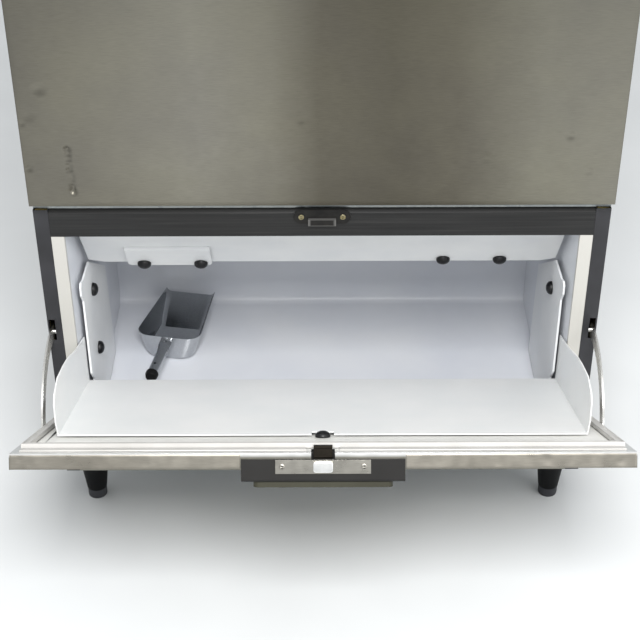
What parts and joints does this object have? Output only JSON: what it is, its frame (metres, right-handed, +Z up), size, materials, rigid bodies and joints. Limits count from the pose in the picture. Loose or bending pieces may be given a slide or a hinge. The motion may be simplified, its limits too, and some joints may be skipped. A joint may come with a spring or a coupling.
{
  "type": "cube ice maker",
  "caption": "Free-standing cube ice maker with an open drop-down bin door, an ice guide plate, a latched handle, a scoop and a freezing unit above.",
  "frame": {"origin": "centre of the bounding box's base, with the door open, on the floor", "axes": "+Z up, the front and the open door face -Y, +X is to the right as seen from the front"},
  "size_m": [1.08, 1.0916, 1.485],
  "materials": {
    "stainless": "satin",
    "blued_steel": "satin",
    "black_steel": "satin",
    "galvanised": "satin",
    "white_plastic": "satin",
    "cream_plastic": "satin",
    "dark_plastic": "matte",
    "olive_plastic": "matte",
    "black_rubber": "matte",
    "foam": "matte",
    "evaporator_plate": "satin",
    "condenser_fins": "satin",
    "black_enamel": "gloss"
  },
  "bodies": {
    "cabinet": {"apron_knob_inner_left": "black_rubber", "apron_knob_inner_right": "black_rubber", "apron_knob_outer_left": "black_rubber", "apron_knob_outer_right": "black_rubber", "base_plate": "galvanised", "bin_casing": "stainless", "bin_drain_fitting": "dark_plastic", "bin_insulation": "foam", "bin_liner": "white_plastic", "compressor": "black_enamel", "condenser": "condenser_fins", "control_box": "galvanised", "evaporator": "evaporator_plate", "fan_motor": "black_enamel", "freezing_frame": "galvanised", "front_apron": "white_plastic", "guard_knob_lower_left": "black_rubber", "guard_knob_right": "black_rubber", "guard_knob_upper_left": "black_rubber", "left_front_post": "blued_steel", "left_hinge_bracket": "stainless", "left_side_guard": "white_plastic", "leg_front_left": "dark_plastic", "leg_front_right": "dark_plastic", "leg_rear_left": "dark_plastic", "leg_rear_right": "dark_plastic", "level_sensor_bracket": "white_plastic", "lower_front_panel": "stainless", "machine_base": "galvanised", "opening_head_strip": "black_steel", "right_front_post": "blued_steel", "right_hinge_bracket": "stainless", "right_side_guard": "white_plastic", "striker_plate": "stainless", "top_panel": "stainless", "upper_casing": "stainless", "upper_front_panel": "stainless"},
    "door": {"door_outer_skin": "stainless", "door_insulation": "foam", "door_liner": "cream_plastic", "door_gasket": "cream_plastic", "ice_guide_plate": "white_plastic", "guide_plate_knob": "black_rubber", "handle_housing": "dark_plastic", "latch_plate": "stainless", "left_door_stay": "stainless", "right_door_stay": "stainless"},
    "handle_lever": {"handle_lever": "olive_plastic"},
    "latch_pawl": {"latch_pawl": "galvanised"},
    "scoop": {"scoop_bowl": "stainless", "scoop_handle_cap": "black_rubber"},
    "fan": {"fan": "galvanised"},
    "water_tray": {"water_tray": "white_plastic", "water_tank": "white_plastic"},
    "intake_grille": {"intake_grille": "dark_plastic", "air_filter": "white_plastic"},
    "foot_adjuster_front_left": {"foot_adjuster_front_left": "dark_plastic"},
    "foot_adjuster_front_right": {"foot_adjuster_front_right": "dark_plastic"},
    "foot_adjuster_rear_left": {"foot_adjuster_rear_left": "dark_plastic"},
    "foot_adjuster_rear_right": {"foot_adjuster_rear_right": "dark_plastic"}
  },
  "joints": [
    {"name": "door_hinge", "type": "hinge", "parent": "cabinet", "child": "door", "pos_m": [0, -0.10424, 0.289], "axis": [1, 0, 0], "range_deg": [-59.95, 0]},
    {"name": "handle_lever_pull", "type": "hinge", "parent": "door", "child": "handle_lever", "pos_m": [0, -0.49738, 0.45175], "axis": [1, 0, 0], "range_deg": [0, 15], "stiffness_Nm_per_rad": 0.5, "springref_deg": -17.19},
    {"name": "latch_pawl_turn", "type": "hinge", "parent": "door", "child": "latch_pawl", "pos_m": [0, -0.49857, 0.49402], "axis": [-1, 0, 0], "range_deg": [0, 14]},
    {"name": "scoop_lift", "type": "slide", "parent": "cabinet", "child": "scoop", "axis": [0, -0.7878, 0.6159], "range_m": [0, 0.85]},
    {"name": "fan_spin", "type": "hinge", "parent": "cabinet", "child": "fan", "pos_m": [0.34, 0.01576, 1.185], "axis": [0, 1, 0], "continuous": true},
    {"name": "water_tray_tilt", "type": "hinge", "parent": "cabinet", "child": "water_tray", "pos_m": [0, 0.48076, 1.131], "axis": [1, 0, 0], "range_deg": [0, 25]},
    {"name": "grille_pull", "type": "slide", "parent": "cabinet", "child": "intake_grille", "axis": [0, -1, 0], "range_m": [0, 0.12]},
    {"name": "foot_screw_front_left", "type": "slide", "parent": "cabinet", "child": "foot_adjuster_front_left", "axis": [0, 0, -1], "range_m": [0, 0.02]},
    {"name": "foot_screw_front_right", "type": "slide", "parent": "cabinet", "child": "foot_adjuster_front_right", "axis": [0, 0, -1], "range_m": [0, 0.02]},
    {"name": "foot_screw_rear_left", "type": "slide", "parent": "cabinet", "child": "foot_adjuster_rear_left", "axis": [0, 0, -1], "range_m": [0, 0.02]},
    {"name": "foot_screw_rear_right", "type": "slide", "parent": "cabinet", "child": "foot_adjuster_rear_right", "axis": [0, 0, -1], "range_m": [0, 0.02]}
  ],
  "couplings": [
    {"joint": "latch_pawl_turn", "follows": "handle_lever_pull", "ratio": 0.93333}
  ]
}
